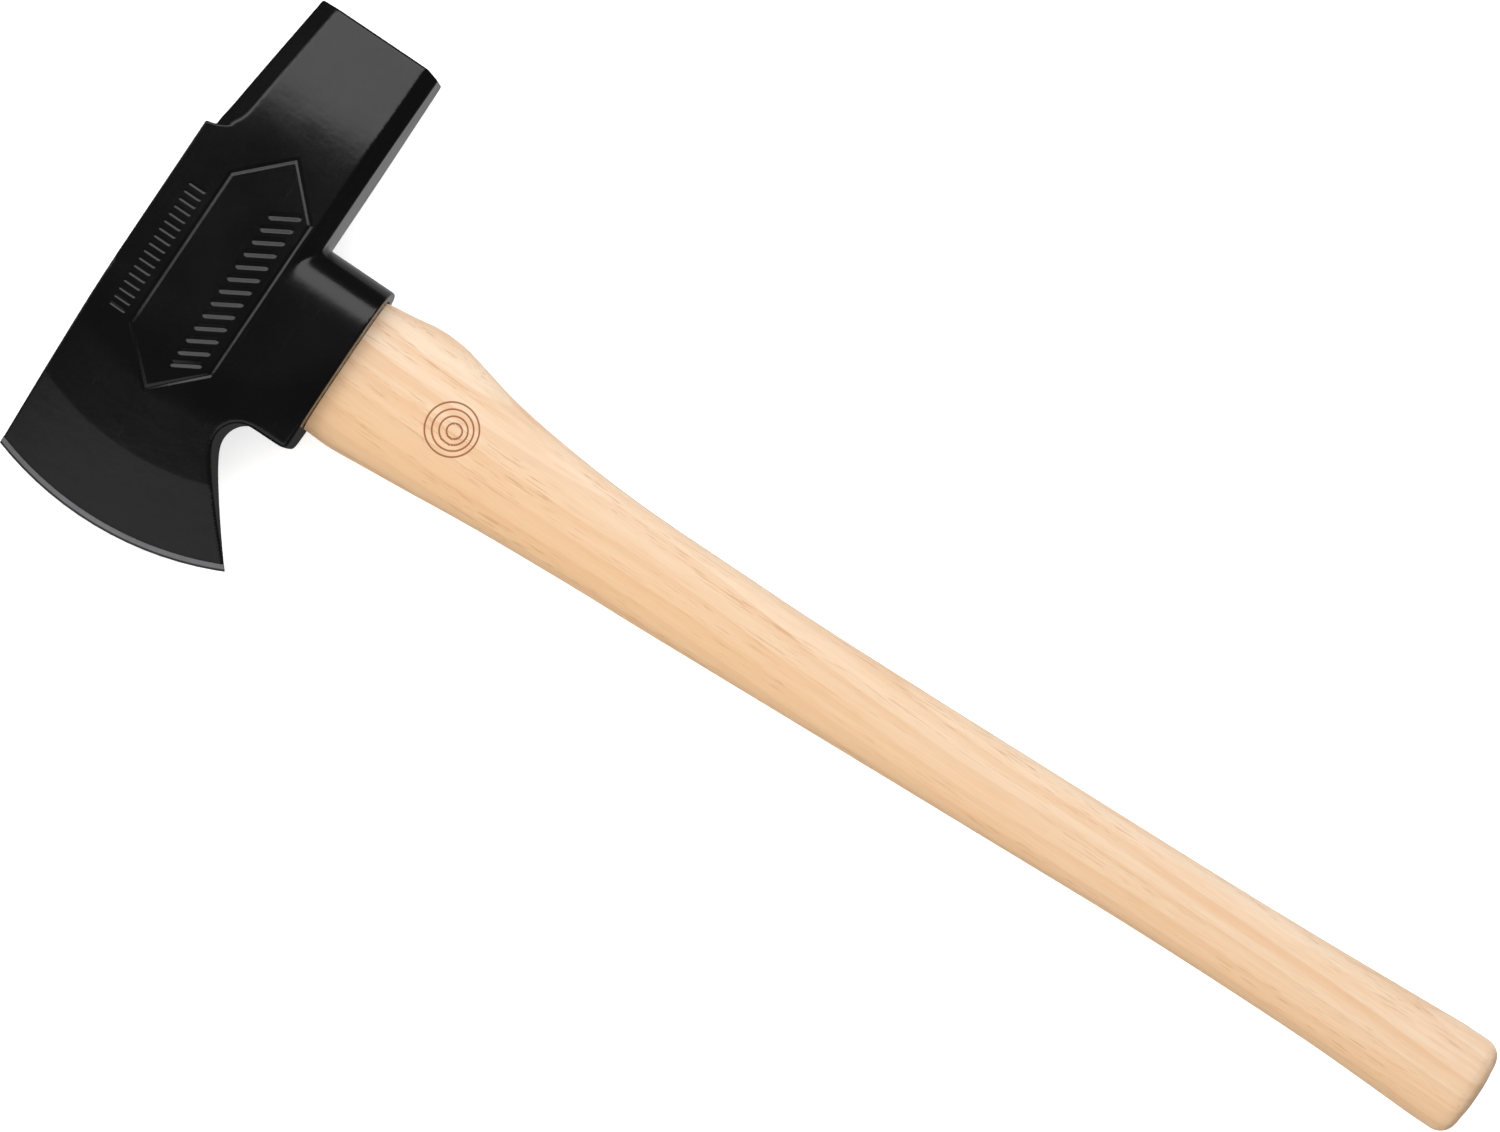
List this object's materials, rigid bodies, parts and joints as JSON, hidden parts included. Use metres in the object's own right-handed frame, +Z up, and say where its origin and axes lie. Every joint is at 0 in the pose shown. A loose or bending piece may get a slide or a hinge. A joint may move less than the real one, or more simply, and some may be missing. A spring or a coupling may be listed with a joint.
{
  "type": "splitting maul",
  "caption": "Forged maul head with an arc-edged blade, a bearded heel and a square hammer poll, wedged on a short wooden handle.",
  "frame": {"origin": "bottom centre of the bounding box, with the maul lying on its side on the lower cheek", "axes": "+X along the handle towards its end, +Y from the blade to the hammer poll, +Z up through the head's width"},
  "size_m": [0.6094, 0.2158, 0.048],
  "materials": {
    "coated_steel": "satin",
    "bare_steel": "satin",
    "handle_wood": "satin",
    "wedge_wood": "matte"
  },
  "bodies": {
    "root": {"head": "coated_steel", "handle": "handle_wood", "wood_wedge": "wedge_wood", "steel_wedge_front": "bare_steel", "steel_wedge_rear": "bare_steel"}
  },
  "joints": []
}
